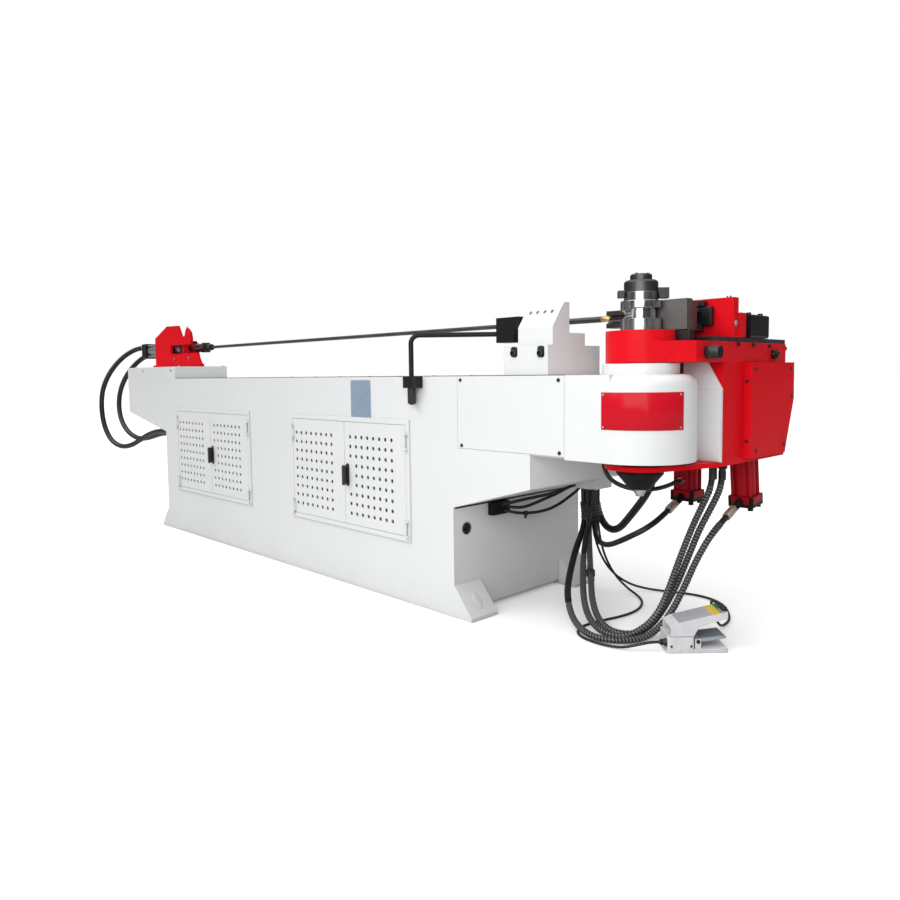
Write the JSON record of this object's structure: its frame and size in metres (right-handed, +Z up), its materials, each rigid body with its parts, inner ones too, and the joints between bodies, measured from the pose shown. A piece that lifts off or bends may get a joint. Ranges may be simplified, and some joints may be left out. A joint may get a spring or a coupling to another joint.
{
  "type": "pipe_bending_machine",
  "caption": "Hydraulic mandrel pipe bending machine: long white bed, red swing arm and mandrel extractor, chrome bend die, perforated cabinet doors, hanging hoses, foot switch.",
  "frame": {"origin": "middle of the machine's footprint on the floor", "axes": "+X along the pipe line towards the bending head, +Y from the operator's near side plate across the bed, +Z up"},
  "size_m": [4.7299, 0.974, 1.316],
  "materials": {
    "white_paint": "satin",
    "red_paint": "gloss",
    "black_paint": "satin",
    "dark_steel": "machined",
    "steel": "machined",
    "chrome": "polished",
    "zinc": "plated",
    "switch_grey": "moulded",
    "pedal_grey": "ribbed",
    "black_plastic": "moulded",
    "hose_rubber": "braided cover",
    "cable_pvc": "smooth",
    "machine_grey": "hammered"
  },
  "bodies": {
    "base": {"near_side_plate": "white_paint", "far_side_plate": "white_paint", "bed_top_plate": "white_paint", "rear_apron": "white_paint", "front_end_panel": "white_paint", "haunch_plate": "white_paint", "base_frame": "white_paint", "rear_pedestal": "white_paint", "head_casting": "white_paint", "head_side_cover": "white_paint", "door_frames": "white_paint", "door_hinge_pins": "zinc", "pressure_bed": "white_paint", "wiper_block": "white_paint", "pressure_cylinder": "red_paint", "pressure_cylinder_caps": "black_paint", "extractor_bracket": "red_paint", "extractor_cylinder": "steel", "extractor_caps": "black_paint", "foot_switch_base": "switch_grey", "power_pack": "machine_grey", "hose_outlets": "black_plastic", "rod_rest_clamp": "black_paint", "rear_hose_upper": "hose_rubber", "rear_hose_lower": "hose_rubber", "clamp_hose_a": "hose_rubber", "clamp_hose_b": "hose_rubber", "pressure_hose": "hose_rubber", "trunk_hose": "hose_rubber", "pedal_cable": "cable_pvc", "gland_cable": "cable_pvc"},
    "swing_arm": {"arm_casting": "red_paint", "arm_yoke": "red_paint", "knee_wear_plate": "white_paint", "arm_side_cover": "red_paint", "spindle_shaft": "dark_steel", "bend_die": "chrome", "die_grip": "steel", "die_collar": "dark_steel", "spindle_cone": "black_paint", "clamp_rails": "dark_steel", "clamp_abutment": "black_paint", "clamp_cylinder": "red_paint", "clamp_cylinder_caps": "black_paint"},
    "clamp_slide": {"clamp_block": "red_paint", "clamp_die": "steel"},
    "clamp_ram_body": {"clamp_ram": "chrome"},
    "pressure_slide_body": {"pressure_slide": "dark_steel", "pressure_die": "dark_steel"},
    "pressure_ram_body": {"pressure_ram": "chrome"},
    "mandrel": {"rod_coupling": "dark_steel", "mandrel_rod": "dark_steel"},
    "rod_rest_body": {"rod_rest": "black_paint"},
    "pedal_body": {"foot_pedal": "pedal_grey"},
    "door_rear_left": {"door_leaf_rear_left": "white_paint"},
    "door_rear_right": {"door_leaf_rear_right": "white_paint", "door_handle_rear": "black_plastic"},
    "door_front_left": {"door_leaf_front_left": "white_paint"},
    "door_front_right": {"door_leaf_front_right": "white_paint", "door_handle_front": "black_plastic"}
  },
  "joints": [
    {"name": "arm_swing", "type": "hinge", "parent": "base", "child": "swing_arm", "pos_m": [1.97579, -0.257, 0.998], "axis": [0, 0, -1], "range_deg": [0, 180], "deforming": ["clamp_hose_a", "clamp_hose_b"]},
    {"name": "clamp_close", "type": "slide", "parent": "swing_arm", "child": "clamp_slide", "axis": [0, -1, 0], "range_m": [0, 0.048]},
    {"name": "clamp_ram_stroke", "type": "slide", "parent": "swing_arm", "child": "clamp_ram_body", "axis": [0, -0.1191, 0.9929], "range_m": [0, 0.096]},
    {"name": "pressure_close", "type": "slide", "parent": "base", "child": "pressure_slide_body", "axis": [0, -1, 0], "range_m": [0, 0.038]},
    {"name": "pressure_ram_stroke", "type": "slide", "parent": "base", "child": "pressure_ram_body", "axis": [0, 0, 1], "range_m": [0, 0.076]},
    {"name": "mandrel_feed", "type": "slide", "parent": "base", "child": "mandrel", "axis": [1, 0, 0], "range_m": [0, 0.185]},
    {"name": "rod_rest_swivel", "type": "hinge", "parent": "base", "child": "rod_rest_body", "pos_m": [1.04119, -0.466, 0.937], "axis": [0, 0, -1], "range_deg": [0, 95]},
    {"name": "pedal_press", "type": "hinge", "parent": "base", "child": "pedal_body", "pos_m": [2.12926, -0.12635, 0.04], "axis": [-0.719, 0.695, 0], "range_deg": [0, 8], "stiffness_Nm_per_rad": 8, "springref_deg": -6.88},
    {"name": "door_rear_left_hinge", "type": "hinge", "parent": "base", "child": "door_rear_left", "pos_m": [-1.19981, -0.455, 0.505], "axis": [0, 0, -1], "range_deg": [0, 110]},
    {"name": "door_rear_right_hinge", "type": "hinge", "parent": "base", "child": "door_rear_right", "pos_m": [-0.33781, -0.455, 0.505], "axis": [0, 0, 1], "range_deg": [0, 110]},
    {"name": "door_front_left_hinge", "type": "hinge", "parent": "base", "child": "door_front_left", "pos_m": [0.11419, -0.455, 0.505], "axis": [0, 0, -1], "range_deg": [0, 110]},
    {"name": "door_front_right_hinge", "type": "hinge", "parent": "base", "child": "door_front_right", "pos_m": [0.97619, -0.455, 0.505], "axis": [0, 0, 1], "range_deg": [0, 110]}
  ],
  "couplings": [
    {"joint": "clamp_ram_stroke", "follows": "clamp_close", "ratio": 2},
    {"joint": "pressure_ram_stroke", "follows": "pressure_close", "ratio": 2}
  ]
}
